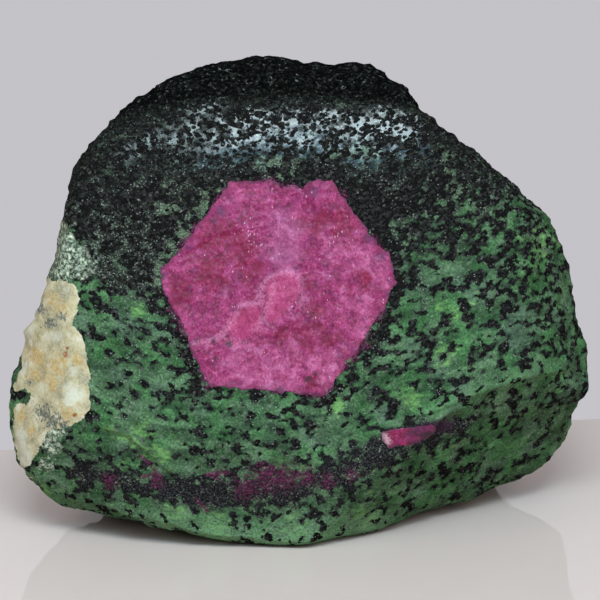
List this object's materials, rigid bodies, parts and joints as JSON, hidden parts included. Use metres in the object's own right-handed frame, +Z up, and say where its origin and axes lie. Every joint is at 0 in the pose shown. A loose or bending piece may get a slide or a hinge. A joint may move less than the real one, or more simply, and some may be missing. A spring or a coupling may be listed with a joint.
{
  "type": "ruby in zoisite specimen",
  "caption": "Broken hand specimen of black-speckled green zoisite rock with a large hexagonal ruby crystal across its face; rests upright on a flat underside.",
  "frame": {"origin": "centre of the bounding box at the level of the flat underside it rests on", "axes": "+Z up, the broad face with the ruby towards -Y, +X to the right seen from the front"},
  "size_m": [0.0998, 0.0562, 0.0789],
  "materials": {
    "zoisite_rock": "satin",
    "ruby": "satin"
  },
  "bodies": {
    "root": {"zoisite_matrix": "zoisite_rock", "ruby_crystal": "ruby", "small_ruby": "ruby"}
  },
  "joints": []
}
